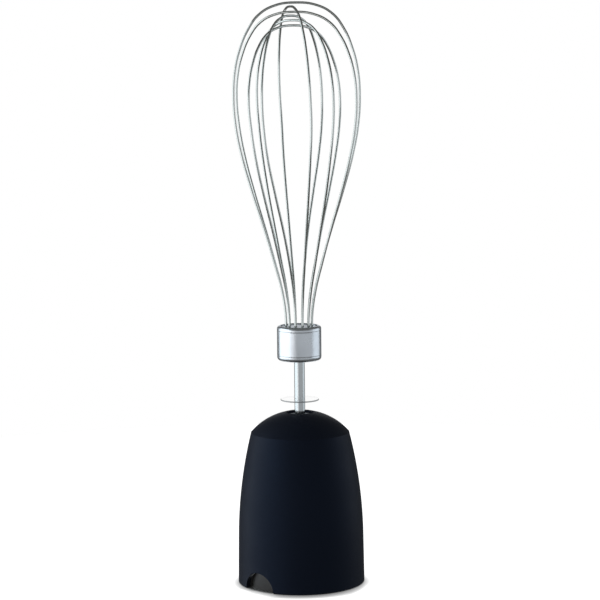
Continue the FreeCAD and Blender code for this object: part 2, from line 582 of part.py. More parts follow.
# Six wire loops ---------------------------------------------------------------------------------------------
# One side of a loop as (height, distance from the axis); the crown part is scaled to each loop's apex.
SIDE = [(113.0, 5.75), (122.0, 7.25), (131.5, 9.75), (146.2, 13.95), (160.8, 18.45), (175.4, 22.45),
        (187.5, 24.75), (199.7, 25.55), (210.5, 24.75), (219.1, 22.6), (226.6, 19.35), (232.5, 14.9)]
CROWN = (236.0, 8.6)
CROWN_START = 187.5
TOP = 237.15
# Each loop: azimuth at the ferrule, azimuth at the belly, sideways lean at the belly, more lean at the
# apex, apex height, reach factor.
LOOPS = [(15.0, 4.0, 0.0, 0.0, 237.15, 1.0), (165.0, 159.6, 0.5, 1.4, 233.4, 1.01),
         (45.0, 45.0, 0.55, 1.3, 228.0, 1.02), (135.0, 126.2, 0.9, 1.0, 230.1, 1.025),
         (75.0, 61.8, 1.7, 0.75, 231.9, 1.0), (105.0, 103.8, 0.35, 2.0, 235.6, 1.015)]


def ease(t):
    t = min(1.0, max(0.0, t))
    return t * t * (3 - 2 * t)


def loop_point(loop, height, reach, side):
    foot, belly, lean, crown_lean, apex, factor = loop
    share = ease((height - value("wire_exit_bend")) / (CROWN_START - value("wire_exit_bend")))
    azimuth = math.radians(foot + (belly - foot) * share)
    crown_share = max(0.0, height - CROWN_START) / (TOP - CROWN_START)
    if height > CROWN_START:
        height = CROWN_START + (height - CROWN_START) * (apex - CROWN_START) / (TOP - CROWN_START)
    along = side * reach * factor
    shift = lean * share + crown_lean * crown_share
    return FreeCAD.Vector(along * math.cos(azimuth) - shift * math.sin(azimuth),
                          along * math.sin(azimuth) + shift * math.cos(azimuth), height)


def biarc(p0, t0, p1, t1):
    """Two tangent arcs from p0 along t0 to p1 along t1."""
    chord = p1 - p0
    total = t0 + t1
    a = 2 * (1 - t0.dot(t1))
    b = 2 * chord.dot(total)
    c = -chord.dot(chord)
    if abs(a) < 1e-9:
        d = -c / b
    else:
        d = (-b + math.sqrt(b * b - 4 * a * c)) / (2 * a)
    q0 = p0 + t0 * d
    q1 = p1 - t1 * d
    middle = (q0 + q1) * 0.5
    edges = []
    for start, corner, end in ((p0, q0, middle), (middle, q1, p1)):
        half = (end - start) * 0.5
        centre_line = (start + end) * 0.5
        height = (corner - centre_line).Length
        if height < 1e-4:
            edges.append(Part.LineSegment(start, end).toShape())
        else:
            # sagitta of the arc tangent to both sides of the corner
            leg = (corner - start).Length
            cosine = half.Length / leg
            sine = math.sqrt(max(0.0, 1 - cosine * cosine))
            sagitta = half.Length * (1 - cosine) / sine
            top = centre_line + (corner - centre_line).normalize() * sagitta
            edges.append(Part.Arc(start, top, end).toShape())
    return edges


wires = []
for number, loop in enumerate(LOOPS):
    foot = loop[0]
    sides = []
    for side in (-1, 1):
        points = [loop_point(loop, height, reach, side) for height, reach in SIDE]
        points.append(loop_point(loop, CROWN[0], CROWN[1], side))
        sides.append(points)
    exits = []
    for side in (-1, 1):
        spot = math.radians(foot)
        exits.append([FreeCAD.Vector(side * value("wire_ring_radius") * math.cos(spot),
                                     side * value("wire_ring_radius") * math.sin(spot), height)
                      for height in (value("wire_foot"), value("wire_exit_bend"))])
    apex = loop_point(loop, TOP, 0.0, 1)
    route = [exits[0][1]] + sides[0] + [apex] + list(reversed(sides[1])) + [exits[1][1]]
    tangents = []
    for i, point in enumerate(route):
        if i == 0:
            tangents.append(FreeCAD.Vector(0, 0, 1))
        elif i == len(route) - 1:
            tangents.append(FreeCAD.Vector(0, 0, -1))
        else:
            before = point - route[i - 1]
            after = route[i + 1] - point
            blend = before * (after.Length / before.Length) + after * (before.Length / after.Length)
            tangents.append(blend.normalize())
    edges = [Part.LineSegment(exits[0][0], exits[0][1]).toShape()]
    for i in range(len(route) - 1):
        edges += biarc(route[i], tangents[i], route[i + 1], tangents[i + 1])
    edges.append(Part.LineSegment(exits[1][1], exits[1][0]).toShape())
    spine = doc.addObject("Part::Feature", "wire_path_" + str(number + 1))
    spine.Shape = Part.Wire(edges)
    profile = doc.addObject("Part::Circle", "wire_section_" + str(number + 1))
    profile.setExpression("Radius", expression("wire_radius"))
    profile.Placement = FreeCAD.Placement(exits[0][0], FreeCAD.Rotation())
    sweep = doc.addObject("Part::Sweep", "wire_sweep_" + str(number + 1))
    sweep.Sections = [profile]
    sweep.Spine = (spine, ["Edge" + str(i + 1) for i in range(len(edges))])
    sweep.Solid = True
    sweep.Frenet = False
    sweep.Label = "wire_loop_" + str(number + 1)
    wires.append(sweep)

doc.recompute()

nodes = [collar_shell, coupling_sleeve, gear_cover, cover_gasket, cover_screws, gear_case, ring_gear,
         thrust_plate, drive_bearing, output_bearing, shaft_seal, pivot_pins, leaves["front"], leaves["back"],
         carrier_plate, output_spindle, planet_pins, planet_washers, spindle_clip, snap_ring,
         planets[0], planets[1], planets[2], sun_gear, drive_coupling, drive_clip,
         whisk_shaft, splash_disc, ferrule, ferrule_plug] + wires + [buttons["front"], buttons["back"]]

for item in doc.Objects:
    if "Invalid" in item.State or "Error" in item.State:
        raise RuntimeError("object failed: " + item.Label)
for node in nodes:
    shape = node.Shape
    if shape.isNull() or not shape.isValid() or shape.Volume <= 0:
        raise RuntimeError("bad shape: " + node.Label)
    print(node.Label, len(shape.Solids), "solids", round(shape.Volume, 2), "mm3")
    shape.exportStep("parts/" + node.Label + ".step")
for wire, loop in zip(wires, LOOPS):
    length = wire.Spine[0].Shape.Length
    print(wire.Label, "volume over section times length",
          round(wire.Shape.Volume / (math.pi * D["wire_radius"] ** 2 * length), 4))
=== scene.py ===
import bpy
import math
from mathutils import Matrix, Vector


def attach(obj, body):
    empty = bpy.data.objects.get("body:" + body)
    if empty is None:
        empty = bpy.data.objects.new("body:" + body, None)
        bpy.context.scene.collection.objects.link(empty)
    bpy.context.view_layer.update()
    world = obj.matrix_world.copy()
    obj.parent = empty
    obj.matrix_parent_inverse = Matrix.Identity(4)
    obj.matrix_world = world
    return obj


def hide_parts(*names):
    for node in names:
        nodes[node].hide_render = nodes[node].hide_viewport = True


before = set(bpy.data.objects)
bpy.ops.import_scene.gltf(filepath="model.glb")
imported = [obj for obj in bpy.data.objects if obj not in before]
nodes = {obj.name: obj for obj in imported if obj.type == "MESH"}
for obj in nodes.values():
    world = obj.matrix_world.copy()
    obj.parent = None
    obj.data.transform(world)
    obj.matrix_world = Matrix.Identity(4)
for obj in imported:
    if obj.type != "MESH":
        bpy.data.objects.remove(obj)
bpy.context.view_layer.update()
print("frame loaded:", len(nodes), "nodes")

mm = 0.001


def deselectAll():
    if bpy.context.object and bpy.context.object.mode != "OBJECT":
        bpy.ops.object.mode_set(mode="OBJECT")
    bpy.ops.object.select_all(action="DESELECT")


def pick(piece):
    deselectAll()
    piece.select_set(True)
    bpy.context.view_layer.objects.active = piece


def settle(piece):
    # the place goes into the mesh, as a CAD node's does
    pick(piece)
    bpy.ops.object.transform_apply(location=True, rotation=True, scale=True)


def swing(piece, azimuth):
    # about the upright axis, in degrees
    piece.rotation_euler = (0, 0, math.radians(azimuth))
    settle(piece)


def applyModifier(piece, kind, **settings):
    pick(piece)
    modifier = piece.modifiers.new(kind.lower(), kind)
    for key, setting in settings.items():
        setattr(modifier, key, setting)
    bpy.ops.object.modifier_apply(modifier=modifier.name)


def softenEdges(piece, width, segments=3, angle=30.0):
    applyModifier(piece, "BEVEL", width=width * mm, segments=segments, limit_method="ANGLE",
                  angle_limit=math.radians(angle), harden_normals=False, use_clamp_overlap=True)


def smooth(piece, angle=35.0):
    pick(piece)
    bpy.ops.object.shade_smooth_by_angle(angle=math.radians(angle))


def faceOutwards(piece):
    pick(piece)
    bpy.ops.object.mode_set(mode="EDIT")
    bpy.ops.mesh.select_all(action="SELECT")
    bpy.ops.mesh.remove_doubles(threshold=0.002 * mm)
    bpy.ops.mesh.normals_make_consistent(inside=False)
    bpy.ops.object.mode_set(mode="OBJECT")


def turn(name, outline, around=128):
    # a turned piece: a circle drawn out ring by ring through the outline's (radius, height) points in mm;
    # a radius of 0 at an end closes it on the axis, otherwise the last ring joins the first
    deselectAll()
    points = [p for p in outline if p[0] > 0]
    radius, height = points[0]
    bpy.ops.mesh.primitive_circle_add(vertices=around, radius=radius * mm, fill_type="NOTHING",
                                      location=(0, 0, 0))
    piece = bpy.context.object
    piece.name = name
    bpy.ops.object.mode_set(mode="EDIT")
    bpy.ops.mesh.select_all(action="SELECT")
    bpy.ops.transform.translate(value=(0, 0, height * mm))
    if outline[0][0] == 0:
        bpy.ops.mesh.edge_face_add()
        bpy.ops.mesh.select_all(action="SELECT")
    ring = points[1:] + ([] if outline[0][0] == 0 else [points[0]])
    for r, z in ring:
        bpy.ops.mesh.extrude_edges_move(TRANSFORM_OT_translate={"value": (0, 0, (z - height) * mm)})
        share = r / radius
        bpy.ops.transform.resize(value=(share, share, 1), center_override=(0, 0, z * mm))
        radius, height = r, z
    if outline[-1][0] == 0:
        bpy.ops.mesh.edge_face_add()
    bpy.ops.object.mode_set(mode="OBJECT")
    faceOutwards(piece)
    return piece


def arcBetween(start, end, radius, steps):
    # points of an arc from start to end, bulging to the right of the way there, without the start itself
    (r0, z0), (r1, z1) = start, end
    chord = math.hypot(r1 - r0, z1 - z0)
    half = chord / 2
    reach = math.sqrt(radius * radius - half * half)
    normal = ((z1 - z0) / chord, -(r1 - r0) / chord)
    centre = ((r0 + r1) / 2 - normal[0] * reach, (z0 + z1) / 2 - normal[1] * reach)
    first = math.atan2(z0 - centre[1], r0 - centre[0])
    last = math.atan2(z1 - centre[1], r1 - centre[0])
    sweep = (last - first + math.pi) % (2 * math.pi) - math.pi
    return [(centre[0] + radius * math.cos(first + sweep * i / steps),
             centre[1] + radius * math.sin(first + sweep * i / steps)) for i in range(1, steps + 1)]


def carve(piece, tool, operation="DIFFERENCE"):
    applyModifier(piece, "BOOLEAN", object=tool, operation=operation, solver="EXACT")
    bpy.data.objects.remove(tool)


def finishPiece(piece, body, material, replaced=()):
    settle(piece)
    piece.data.materials.clear()
    piece.data.materials.append(material)
    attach(piece, body)
    if replaced:
        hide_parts(*replaced)


def addBox(low, high):
    # a block between two corners in mm
    deselectAll()
    bpy.ops.mesh.primitive_cube_add(size=1, location=[(a + b) / 2 * mm for a, b in zip(low, high)])
    box = bpy.context.object
    box.scale = [(b - a) * mm for a, b in zip(low, high)]
    settle(box)
    return box


def addRod(radius, low, high, x=0.0, y=0.0, sides=48):
    # an upright rod, sizes in mm
    deselectAll()
    bpy.ops.mesh.primitive_cylinder_add(vertices=sides, radius=radius * mm, depth=(high - low) * mm,
                                        location=(x * mm, y * mm, (low + high) / 2 * mm))
    rod = bpy.context.object
    settle(rod)
    return rod


def linear(hexCode):
    # sRGB hex to the linear colour that the shader wants
    parts = [int(hexCode[i:i + 2], 16) / 255 for i in (1, 3, 5)]
    return [c / 12.92 if c <= 0.04045 else ((c + 0.055) / 1.055) ** 2.4 for c in parts] + [1.0]


def addNode(material, kind, settings=None, links=None):
    # one node with its settings (attributes or input values) and its incoming links
    node = material.node_tree.nodes.new(kind)
    for key, setting in (settings or {}).items():
        if isinstance(key, str) and hasattr(node, key) and key not in node.inputs:
            setattr(node, key, setting)
        else:
            node.inputs[key].default_value = setting
    for key, source in (links or {}).items():
        material.node_tree.links.new(source, node.inputs[key])
    return node


# most of a noise texture's values lie between these
noiseSpan = {"From Min": 0.3, "From Max": 0.7}


def newMaterial(name):
    material = bpy.data.materials.new(name)
    material.use_nodes = True
    material.node_tree.nodes.clear()
    return material


def closeMaterial(material, shader):
    addNode(material, "ShaderNodeOutputMaterial", {}, {"Surface": shader.outputs[0]})
    return material


def softTouchCoating():
    # polyurethane soft-touch lacquer on moulded ABS: a broad bluish bloom and almost no mirror, a 0.12 mm bead
    # texture drawn at 0.35 mm so that it shows, and faint cloudy wear
    look = {"base": "#151922", "cloud": "#191D26", "roughness": 0.5, "specular": 0.15, "tint": "#8FB6EE",
            "cloudMm": 18, "beadMm": 0.35, "bumpMm": 0.012, "smoother": 0.04, "duller": 0.05}
    m = newMaterial("softTouchLacquer")
    place = addNode(m, "ShaderNodeTexCoord")
    cloud = addNode(m, "ShaderNodeTexNoise", {"Scale": 1 / (look["cloudMm"] * mm), "Detail": 4.0, "Roughness": 0.6},
                    {"Vector": place.outputs["Object"]})
    tint = addNode(m, "ShaderNodeMix", {"data_type": "RGBA", 6: linear(look["base"]), 7: linear(look["cloud"])},
                   {0: cloud.outputs["Fac"]})
    bead = addNode(m, "ShaderNodeTexNoise", {"Scale": 1 / (look["beadMm"] * mm), "Detail": 2.0, "Roughness": 0.5},
                   {"Vector": place.outputs["Object"]})
    rough = addNode(m, "ShaderNodeMapRange", {**noiseSpan, "To Min": look["roughness"] - look["smoother"],
                                              "To Max": look["roughness"] + look["duller"]},
                    {"Value": cloud.outputs["Fac"]})
    bump = addNode(m, "ShaderNodeBump", {"Strength": 0.5, "Distance": look["bumpMm"] * mm},
                   {"Height": bead.outputs["Fac"]})
    shader = addNode(m, "ShaderNodeBsdfPrincipled",
                     {"IOR": 1.5, "Specular IOR Level": look["specular"], "Specular Tint": linear(look["tint"])},
                     {"Base Color": tint.outputs[2], "Roughness": rough.outputs[0], "Normal": bump.outputs[0]})
    return closeMaterial(m, shader)


def steel(name, base, roughness, grainMm, grainBump, around=True):
    # steel: fine ground rings around turned pieces, or a bright polish with a faint grain on wire; finger smudges
    # make broad patches of it duller
    look = {"ringStretch": 40, "smudgeMm": 9, "clean": 0.85, "smudged": 1.2}
    stretch = look["ringStretch"] if around else 1
    m = newMaterial(name)
    place = addNode(m, "ShaderNodeTexCoord")
    rings = addNode(m, "ShaderNodeMapping", {"Scale": (1, 1, stretch)}, {"Vector": place.outputs["Object"]})
    grain = addNode(m, "ShaderNodeTexNoise", {"Scale": 1 / (grainMm * stretch * mm), "Detail": 3.0, "Roughness": 0.6},
                    {"Vector": rings.outputs[0]})
    smudge = addNode(m, "ShaderNodeTexNoise", {"Scale": 1 / (look["smudgeMm"] * mm), "Detail": 3.0},
                     {"Vector": place.outputs["Object"]})
    rough = addNode(m, "ShaderNodeMapRange", {**noiseSpan, "To Min": roughness * look["clean"],
                                              "To Max": roughness * look["smudged"]}, {"Value": smudge.outputs["Fac"]})
    bump = addNode(m, "ShaderNodeBump", {"Strength": 0.3, "Distance": grainBump * mm}, {"Height": grain.outputs["Fac"]})
    shader = addNode(m, "ShaderNodeBsdfPrincipled", {"Base Color": linear(base), "Metallic": 1.0},
                     {"Roughness": rough.outputs[0], "Normal": bump.outputs[0]})
    return closeMaterial(m, shader)


def clearPolycarbonate():
    # thin clear moulded polycarbonate: all but invisible, with a faintly uneven gloss; its rim carries painted shade, a
    # grey, nearly opaque band that stands in for the dark line a clear edge shows where it bends the light away
    look = {"clearTo": 7.6, "rimFrom": 7.82, "clearAlpha": 0.04, "rimAlpha": 0.8, "farShare": 0.06, "hazeMm": 2,
            "smoothest": 0.06, "dullest": 0.16, "colour": "#8D9494"}
    m = newMaterial("clearPolycarbonate")
    place = addNode(m, "ShaderNodeTexCoord")
    level = addNode(m, "ShaderNodeMapping", {"vector_type": "POINT", "Scale": (1, 1, 0)},
                    {"Vector": place.outputs["Object"]})
    fromAxis = addNode(m, "ShaderNodeVectorMath", {"operation": "LENGTH"}, {0: level.outputs[0]})
    rim = addNode(m, "ShaderNodeMapRange", {"From Min": look["clearTo"] * mm, "From Max": look["rimFrom"] * mm,
                                            "To Min": look["clearAlpha"], "To Max": look["rimAlpha"]},
                  {"Value": fromAxis.outputs["Value"]})
    # the painted rim shade is kept faint on faces seen from behind, so the far rim, seen through the disc, hardly shows
    facing = addNode(m, "ShaderNodeNewGeometry")
    seen = addNode(m, "ShaderNodeMapRange", {"To Min": 1.0, "To Max": look["farShare"]},
                   {"Value": facing.outputs["Backfacing"]})
    alpha = addNode(m, "ShaderNodeMath", {"operation": "MULTIPLY"}, {0: rim.outputs[0], 1: seen.outputs[0]})
    haze = addNode(m, "ShaderNodeTexNoise", {"Scale": 1 / (look["hazeMm"] * mm), "Detail": 2.0},
                   {"Vector": place.outputs["Object"]})
    rough = addNode(m, "ShaderNodeMapRange", {**noiseSpan, "To Min": look["smoothest"], "To Max": look["dullest"]},
                    {"Value": haze.outputs["Fac"]})
    shader = addNode(m, "ShaderNodeBsdfPrincipled", {"Base Color": linear(look["colour"]), "IOR": 1.585},
                     {"Roughness": rough.outputs[0], "Alpha": alpha.outputs[0]})
    return closeMaterial(m, shader)


def mouldedPlastic(name, base, speck, roughness, ior=1.5):
    # moulded plastic or rubber: a satin surface with a fine spark-eroded grain and a slightly uneven colour
    look = {"cloudMm": 6, "grainMm": 0.5, "bumpMm": 0.02, "uneven": 0.05}
    m = newMaterial(name)
    place = addNode(m, "ShaderNodeTexCoord")
    cloud = addNode(m, "ShaderNodeTexNoise", {"Scale": 1 / (look["cloudMm"] * mm), "Detail": 3.0},
                    {"Vector": place.outputs["Object"]})
    tint = addNode(m, "ShaderNodeMix", {"data_type": "RGBA", 6: linear(base), 7: linear(speck)},
                   {0: cloud.outputs["Fac"]})
    grain = addNode(m, "ShaderNodeTexNoise", {"Scale": 1 / (look["grainMm"] * mm), "Detail": 2.0},
                    {"Vector": place.outputs["Object"]})
    bump = addNode(m, "ShaderNodeBump", {"Strength": 0.4, "Distance": look["bumpMm"] * mm},
                   {"Height": grain.outputs["Fac"]})
    rough = addNode(m, "ShaderNodeMapRange", {**noiseSpan, "To Min": roughness - look["uneven"],
                                              "To Max": roughness + look["uneven"]}, {"Value": cloud.outputs["Fac"]})
    shader = addNode(m, "ShaderNodeBsdfPrincipled", {"IOR": ior},
                     {"Base Color": tint.outputs[2], "Roughness": rough.outputs[0], "Normal": bump.outputs[0]})
    return closeMaterial(m, shader)


def sinteredBronze():
    # oil-soaked sintered bronze: dull metal with open pores, drawn at 0.4 mm so that they show
    look = {"pore": "#6E5230", "metal": "#A98352", "poreMm": 0.4, "bumpMm": 0.02}
    m = newMaterial("sinteredBronze")
    place = addNode(m, "ShaderNodeTexCoord")
    pores = addNode(m, "ShaderNodeTexVoronoi", {"Scale": 1 / (look["poreMm"] * mm)},
                    {"Vector": place.outputs["Object"]})
    tint = addNode(m, "ShaderNodeMix", {"data_type": "RGBA", 6: linear(look["pore"]), 7: linear(look["metal"])},
                   {0: pores.outputs["Distance"]})
    bump = addNode(m, "ShaderNodeBump", {"Strength": 0.4, "Distance": look["bumpMm"] * mm},
                   {"Height": pores.outputs["Distance"]})
    shader = addNode(m, "ShaderNodeBsdfPrincipled", {"Metallic": 1.0, "Roughness": 0.45},
                     {"Base Color": tint.outputs[2], "Normal": bump.outputs[0]})
    return closeMaterial(m, shader)


softTouch = softTouchCoating()
# wire is bright with thin dark edges; the cup is a softer mirror in broad bands; the stem lies between the two
polishedWire = steel("drawnStainlessWire", "#C7CBC5", 0.16, 0.6, 0.004, around=False)
ferruleSteel = steel("groundStainlessFerrule", "#D6DCDE", 0.31, 0.5, 0.006)
stemSteel = steel("groundStainlessStem", "#C0C5C3", 0.2, 0.5, 0.006)
plugSteel = steel("facedStainlessPlug", "#C4C8CC", 0.3, 0.5, 0.006)
# screws, pins, plates and clips inside: greyer and duller than the stainless pieces
toolSteel = steel("hardenedSteel", "#9A9DA1", 0.32, 0.5, 0.008)
springSteel = steel("springSteel", "#8A8C90", 0.3, 0.4, 0.006)
clearDisc = clearPolycarbonate()
buttonPlastic = mouldedPlastic("greyBrownPolypropylene", "#242320", "#2A2825", 0.45)  # warm dark grey, slight shine
linerPlastic = mouldedPlastic("charcoalGlassFilledNylon", "#191A1C", "#202124", 0.5)  # near black, dry looking
coverPlastic = mouldedPlastic("greyAbs", "#6A6C6F", "#727478", 0.45)  # plain mid grey, satin
couplingPlastic = mouldedPlastic("whiteGlassFilledNylon", "#B9B9B4", "#C4C3BD", 0.5)  # off-white, dry looking
acetal = mouldedPlastic("naturalAcetal", "#E6E3DA", "#DDD9CE", 0.35, ior=1.48)  # milky white, a little waxy
sealRubber = mouldedPlastic("lightGreySilicone", "#9EA1A4", "#A9ACAF", 0.5, ior=1.43)  # pale, soft shine
gasketRubber = mouldedPlastic("darkNitrileRubber", "#2B2C2D", "#313234", 0.7)  # dark and matt
bronze = sinteredBronze()
print("materials made")

# the nodes that keep their CAD shape
cadFinish = {
    "cover_gasket": gasketRubber, "cover_screws": toolSteel, "gear_case": coverPlastic, "ring_gear": acetal,
    "thrust_plate": toolSteel, "drive_bearing": bronze, "output_bearing": bronze, "pivot_pins": toolSteel,
    "latch_spring_front": springSteel, "latch_spring_back": springSteel, "carrier_plate": toolSteel,
    "output_spindle": toolSteel, "planet_pins": toolSteel, "planet_washers": toolSteel,
    "spindle_clip": springSteel, "snap_ring": springSteel, "planet_gear_1": acetal, "planet_gear_2": acetal,
    "planet_gear_3": acetal, "sun_gear": toolSteel, "drive_clip": springSteel,
}
for name, material in cadFinish.items():
    for socket in nodes[name].material_slots:
        socket.material = material

# the collar's outline runs from the rim outwards and up, over the dome and down its inside
collar = {"rimOuter": [(25.6, 0), (26.0, 0.4), (25.93, 5.0), (25.86, 10.2), (25.78, 15.3)], "skirtTop": (25.7, 20.4),
          "flankRadius": 185.0, "flankEnd": (20.15, 62.4), "domeStart": (19.75, 62.8), "domeRadius": 26.0,
          "domeRim": (5.9, 70.6), "hole": [(5.3, 70.2), (5.3, 62.5)],
          "inside": [(5.6, 62.5), (5.6, 60.5), (8.0, 60.5), (8.0, 66.4), (16.4, 61.2), (18.2, 59.0), (20.3, 51.0),
                     (22.6, 36.0), (22.6, 27.0), (23.9, 27.0)],
          "bore": (23.9, 0), "notchRadius": 7.6, "notchLength": 70, "notchAzimuth": -133.4, "edge": 0.28}


def makeCollar():
    flank = arcBetween(collar["skirtTop"], collar["flankEnd"], collar["flankRadius"], 14)
    dome = arcBetween(collar["domeStart"], collar["domeRim"], collar["domeRadius"], 12)
    outline = [collar["bore"]] + collar["rimOuter"] + [collar["skirtTop"]] + flank + [collar["domeStart"]] + dome
    outline += collar["hole"] + collar["inside"]
    shell = turn("collarShell", outline, 192)
    deselectAll()
    bpy.ops.mesh.primitive_cylinder_add(vertices=96, radius=collar["notchRadius"] * mm,
                                        depth=collar["notchLength"] * mm, location=(0, 0, 0))
    tool = bpy.context.object
    tool.rotation_euler = (0, math.radians(90), math.radians(collar["notchAzimuth"]))
    settle(tool)
    carve(shell, tool)
    softenEdges(shell, collar["edge"], 3, 50)
    smooth(shell, 30)
    finishPiece(shell, "housing", softTouch, ["collar_shell"])


makeCollar()
print("collar shell made")

# the shaft seal, from the underside outwards, up over the outer bead, down the valley and up to the lip on the stem
seal = {"outline": [(2.22, 68.3), (5.25, 68.3), (5.25, 69.25), (4.95, 69.5), (4.4, 69.5), (4.05, 69.2), (3.2, 68.95),
                    (2.7, 69.2), (2.45, 69.2), (2.22, 68.95)]}
sealPiece = turn("shaftSeal", seal["outline"], 96)
smooth(sealPiece)
finishPiece(sealPiece, "housing", sealRubber, ["shaft_seal"])

# a release button's section, from the pad's foot up to the hook and back down the inside
button = {"padRadius": 7.2, "archDepth": 12, "archDistance": 22,
          "section": [(22.1, 0.15), (23.7, 0.15), (23.7, 8.0), (22.8, 9.5), (22.8, 12.5), (22.3, 14.5), (22.3, 22.3),
                      (21.6, 22.3), (20.3, 21.5), (20.3, 21.0), (21.4, 19.6), (21.4, 14.5), (21.8, 12.5), (22.1, 9.5)],
          "leverLow": (16, -4, -1), "leverHigh": (28, 4, 23), "edge": 0.6, "bossRadius": 1.0, "bossLength": 8.8,
          "bossDistance": 22.3, "bossHeight": 11.0, "bossEdge": 0.15}


def makeButton(side, azimuth, body):
    # the pad and its lever are one ring section, trimmed to an arch with a narrow lever above it
    pad = turn("button" + side, button["section"], 256)
    deselectAll()
    bpy.ops.mesh.primitive_cylinder_add(vertices=96, radius=button["padRadius"] * mm, depth=button["archDepth"] * mm,
                                        location=(button["archDistance"] * mm, 0, 0),
                                        rotation=(0, math.radians(90), 0))
    arch = bpy.context.object
    settle(arch)
    carve(arch, addBox(button["leverLow"], button["leverHigh"]), "UNION")
    carve(pad, arch, "INTERSECT")
    softenEdges(pad, button["edge"], 3, 40)
    deselectAll()
    bpy.ops.mesh.primitive_cylinder_add(vertices=48, radius=button["bossRadius"] * mm,
                                        depth=button["bossLength"] * mm, rotation=(math.radians(90), 0, 0),
                                        location=(button["bossDistance"] * mm, 0, button["bossHeight"] * mm))
    boss = bpy.context.object
    settle(boss)
    softenEdges(boss, button["bossEdge"], 2)
    pick(boss)
    pad.select_set(True)
    bpy.context.view_layer.objects.active = pad
    bpy.ops.object.join()
    swing(pad, azimuth)
    smooth(pad, 30)
    finishPiece(pad, body, buttonPlastic, ["release_button_" + side.lower()])


makeButton("Front", collar["notchAzimuth"], "button_front")
makeButton("Back", collar["notchAzimuth"] + 180, "button_back")
print("buttons made")

# what shows inside the mouth
mouth = {"bore": 21.0, "relief": 21.5, "outer": 23.88, "bottom": 1.0, "boreTop": 11.5, "top": 27.0, "lead": 0.4,
         "step": 0.3, "edge": 0.3, "lowWindow": (7.9, 8.6), "slotWindow": (4.8, 24.0), "windowReach": 26}
cover = {"radius": 22.6, "bottom": 28.0, "top": 31.0, "hub": 7.5, "hubBottom": 24.6, "hubEdge": 0.3, "bearing": 5.0,
         "screws": 4, "firstScrew": 45, "screwCircle": 20.7, "screwRecess": 1.85, "headDepth": 1.4,
         "ringSection": [(14.5, 0), (14.9, 0.6), (15.7, 0.6), (16.1, 0)], "edge": 0.2}
coupling = {"radius": 6.5, "bottom": 12.0, "top": 23.0, "bore": 3.5, "boreTop": 20.0, "lead": 0.5, "shaft": 3.0,
            "flutes": 3, "firstFlute": 90, "flute": 0.7, "fluteStop": 0.05, "edge": 0.15}


def makeLiner():
    bore, outer, relief = mouth["bore"], mouth["outer"], mouth["relief"]
    liner = turn("mouthLiner", [(bore + mouth["lead"], mouth["bottom"]), (outer, mouth["bottom"]),
                                (outer, mouth["top"]), (relief, mouth["top"]), (relief, mouth["boreTop"]),
                                (bore, mouth["boreTop"] - mouth["step"]), (bore, mouth["bottom"] + mouth["lead"])], 160)
    for half, top in (mouth["lowWindow"], mouth["slotWindow"]):
        window = addBox((-mouth["windowReach"], -half, -1), (mouth["windowReach"], half, top))
        swing(window, collar["notchAzimuth"])
        carve(liner, window)
    softenEdges(liner, mouth["edge"], 2, 50)
    smooth(liner, 30)
    finishPiece(liner, "housing", linerPlastic, ["coupling_sleeve"])


def makeCover():
    # a moulded disc with a bearing hub, a stiffening ring and four sunk screws
    b, hub = cover["bottom"], cover["hub"]
    disc = turn("gearCover", [(cover["bearing"], cover["hubBottom"]), (hub - cover["hubEdge"], cover["hubBottom"]),
                              (hub, cover["hubBottom"] + cover["hubEdge"]), (hub, b)]
                + [(r, b - depth) for r, depth in cover["ringSection"]]
                + [(cover["radius"], b), (cover["radius"], cover["top"]), (cover["bearing"], cover["top"])], 128)
    for i in range(cover["screws"]):
        spot = math.radians(cover["firstScrew"] + i * 360 / cover["screws"])
        carve(disc, addRod(cover["screwRecess"], b - 1, b + cover["headDepth"], cover["screwCircle"] * math.cos(spot),
                           cover["screwCircle"] * math.sin(spot)))
    softenEdges(disc, cover["edge"], 2, 50)
    smooth(disc, 30)
    finishPiece(disc, "housing", coverPlastic, ["gear_cover"])


def makeCoupling():
    # a round block with a fluted bore for the motor's drive dog
    b, bore, lead, radius = coupling["bottom"], coupling["bore"], coupling["lead"], coupling["radius"]
    piece = turn("driveCoupling", [(bore + lead, b), (radius - lead, b), (radius, b + lead), (radius, coupling["top"]),
                                   (coupling["shaft"], coupling["top"]), (coupling["shaft"], coupling["boreTop"]),
                                   (bore, coupling["boreTop"]), (bore, b + lead)], 96)
    for i in range(coupling["flutes"]):
        spot = math.radians(coupling["firstFlute"] + i * 360 / coupling["flutes"])
        carve(piece, addRod(coupling["flute"], b - 1, coupling["boreTop"] - coupling["fluteStop"],
                            bore * math.cos(spot), bore * math.sin(spot), 24))
    softenEdges(piece, coupling["edge"], 2, 50)
    smooth(piece, 30)
    finishPiece(piece, "drive", couplingPlastic, ["drive_coupling"])


makeLiner()
makeCover()
makeCoupling()
print("liner, cover and coupling made")

stem = {"radius": 2.17, "bottom": 50.0, "tip": 1.8, "tongue": 2.05, "tipEdge": 0.3, "tongueTop": 56.2, "middle": 92.0,
        "top": 103.5}
stemPiece = turn("whiskStem", [(0, stem["bottom"]), (stem["tip"], stem["bottom"]),
                               (stem["tongue"], stem["bottom"] + stem["tipEdge"]), (stem["tongue"], stem["tongueTop"]),
                               (stem["radius"], stem["tongueTop"]), (stem["radius"], stem["middle"]),
                               (stem["radius"], stem["top"]), (0, stem["top"])], 96)
smooth(stemPiece)
finishPiece(stemPiece, "whisk", stemSteel, ["whisk_shaft"])

